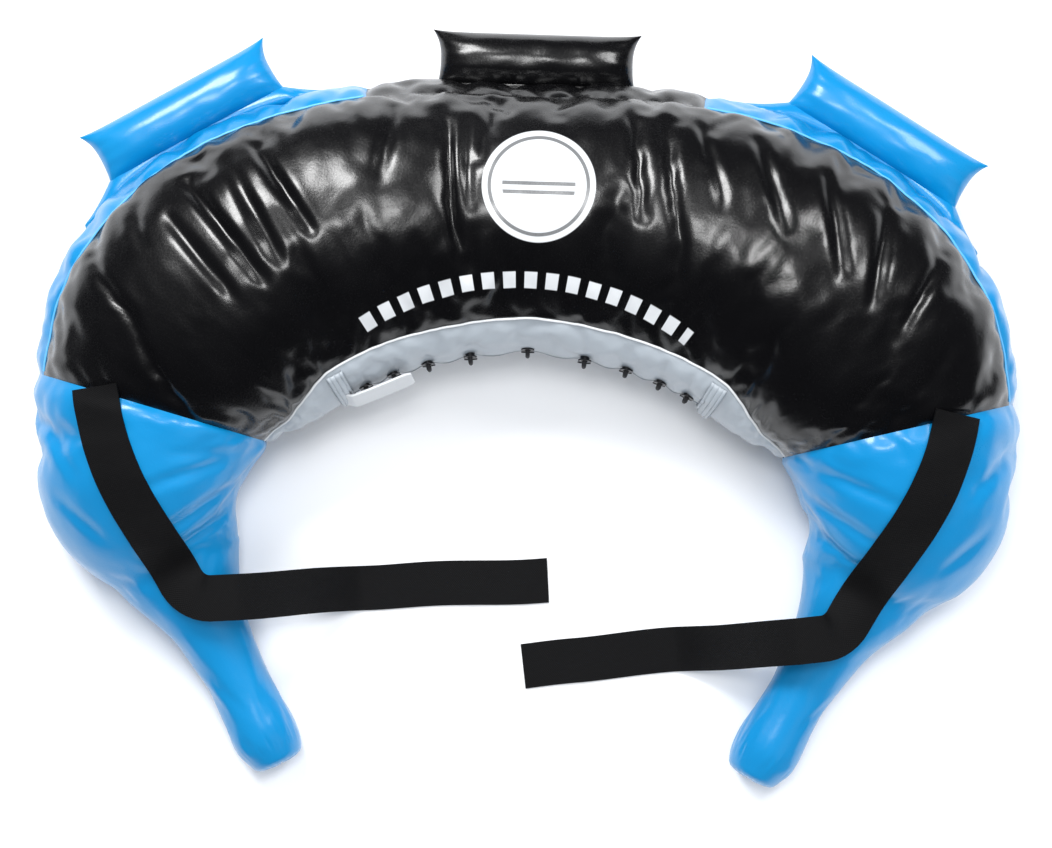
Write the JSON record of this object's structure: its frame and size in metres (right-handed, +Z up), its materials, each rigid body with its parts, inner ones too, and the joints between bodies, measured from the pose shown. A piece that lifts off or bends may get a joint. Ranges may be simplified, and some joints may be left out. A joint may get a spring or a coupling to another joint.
{
  "type": "crescent training bag",
  "caption": "Crescent-shaped weighted training bag with a laced inner collar, two tapered horn grips, padded side grips and webbing straps.",
  "frame": {"origin": "middle of the resting footprint, on the floor under the rear panel", "axes": "+X to the right across the crescent, +Y from the horns to the crown, +Z up out of the front panel"},
  "size_m": [0.6806, 0.522, 0.1545],
  "materials": {
    "black_vinyl": "glossy embossed vinyl",
    "blue_vinyl": "glossy embossed vinyl",
    "grey_vinyl": "semi-gloss vinyl",
    "webbing": "woven polypropylene",
    "lace_cord": "round braided cord",
    "eyelet_metal": "black",
    "wool_packing": "loose wool",
    "sand_bag_cloth": "plain cloth"
  },
  "bodies": {
    "bag": {"centre_grip_tabs": "black_vinyl", "centre_sand_bag": "sand_bag_cloth", "collar_front_flap": "grey_vinyl", "collar_rear_flap": "grey_vinyl", "eyelets": "eyelet_metal", "front_centre_panel": "black_vinyl", "front_wool": "wool_packing", "lace": "lace_cord", "left_arm_wool": "wool_packing", "left_collar_band": "grey_vinyl", "left_collar_end": "grey_vinyl", "left_front_end_panel": "blue_vinyl", "left_grip_tabs": "blue_vinyl", "left_rear_end_panel": "blue_vinyl", "left_sand_bag": "sand_bag_cloth", "left_spine_strip": "blue_vinyl", "left_strap_turn": "webbing", "left_upper_strap": "webbing", "rear_centre_panel": "black_vinyl", "rear_wool": "wool_packing", "right_arm_wool": "wool_packing", "right_collar_band": "grey_vinyl", "right_collar_end": "grey_vinyl", "right_front_end_panel": "blue_vinyl", "right_grip_tabs": "blue_vinyl", "right_rear_end_panel": "blue_vinyl", "right_sand_bag": "sand_bag_cloth", "right_spine_strip": "blue_vinyl", "right_strap_turn": "webbing", "right_upper_strap": "webbing", "spine_centre_strip": "black_vinyl"},
    "left_horn": {"left_horn_cover": "blue_vinyl", "left_horn_core": "wool_packing", "left_horn_end_cap": "blue_vinyl"},
    "right_horn": {"right_horn_cover": "blue_vinyl", "right_horn_core": "wool_packing", "right_horn_end_cap": "blue_vinyl"},
    "left_grip": {"left_grip_cover": "blue_vinyl", "left_grip_core": "wool_packing"},
    "centre_grip": {"centre_grip_cover": "black_vinyl", "centre_grip_core": "wool_packing"},
    "right_grip": {"right_grip_cover": "blue_vinyl", "right_grip_core": "wool_packing"},
    "closure_tab": {"closure_tab": "grey_vinyl"},
    "left_tail_inner": {"left_strap_tail_inner": "webbing"},
    "left_tail_outer": {"left_strap_tail_outer": "webbing"},
    "right_tail_inner": {"right_strap_tail_inner": "webbing"},
    "right_tail_outer": {"right_strap_tail_outer": "webbing"}
  },
  "joints": [
    {"name": "left_horn_bend", "type": "hinge", "parent": "bag", "child": "left_horn", "pos_m": [-0.2397, -0.1161, 0.037], "axis": [0, 0, 1], "range_deg": [-16, 4]},
    {"name": "right_horn_bend", "type": "hinge", "parent": "bag", "child": "right_horn", "pos_m": [0.2397, -0.1161, 0.037], "axis": [0, 0, 1], "range_deg": [-4, 16]},
    {"name": "left_grip_pull", "type": "slide", "parent": "bag", "child": "left_grip", "axis": [-0.5089, 0.8609, 0], "range_m": [0, 0.022]},
    {"name": "centre_grip_pull", "type": "slide", "parent": "bag", "child": "centre_grip", "axis": [0, 1, 0], "range_m": [0, 0.022]},
    {"name": "right_grip_pull", "type": "slide", "parent": "bag", "child": "right_grip", "axis": [0.5089, 0.8609, 0], "range_m": [0, 0.022]},
    {"name": "closure_tab_fold", "type": "hinge", "parent": "bag", "child": "closure_tab", "pos_m": [-0.11668, 0.00353, 0.08616], "axis": [-0.147, 0.3088, 0.9397], "range_deg": [-110, 0]},
    {"name": "left_tail_lift", "type": "hinge", "parent": "bag", "child": "left_tail_inner", "pos_m": [-0.20373, -0.13511, 0.0786], "axis": [0.0802, -0.9968, 0], "range_deg": [0, 90]},
    {"name": "left_tail_fold", "type": "hinge", "parent": "left_tail_inner", "child": "left_tail_outer", "pos_m": [-0.08611, -0.12565, 0.0016], "axis": [0.0802, -0.9968, 0], "range_deg": [0, 120]},
    {"name": "right_tail_lift", "type": "hinge", "parent": "bag", "child": "right_tail_inner", "pos_m": [0.20162, -0.15154, 0.0786], "axis": [-0.1426, 0.9898, 0], "range_deg": [0, 90]},
    {"name": "right_tail_fold", "type": "hinge", "parent": "right_tail_inner", "child": "right_tail_outer", "pos_m": [0.08483, -0.16837, 0.0016], "axis": [-0.1426, 0.9898, 0], "range_deg": [0, 120]}
  ]
}
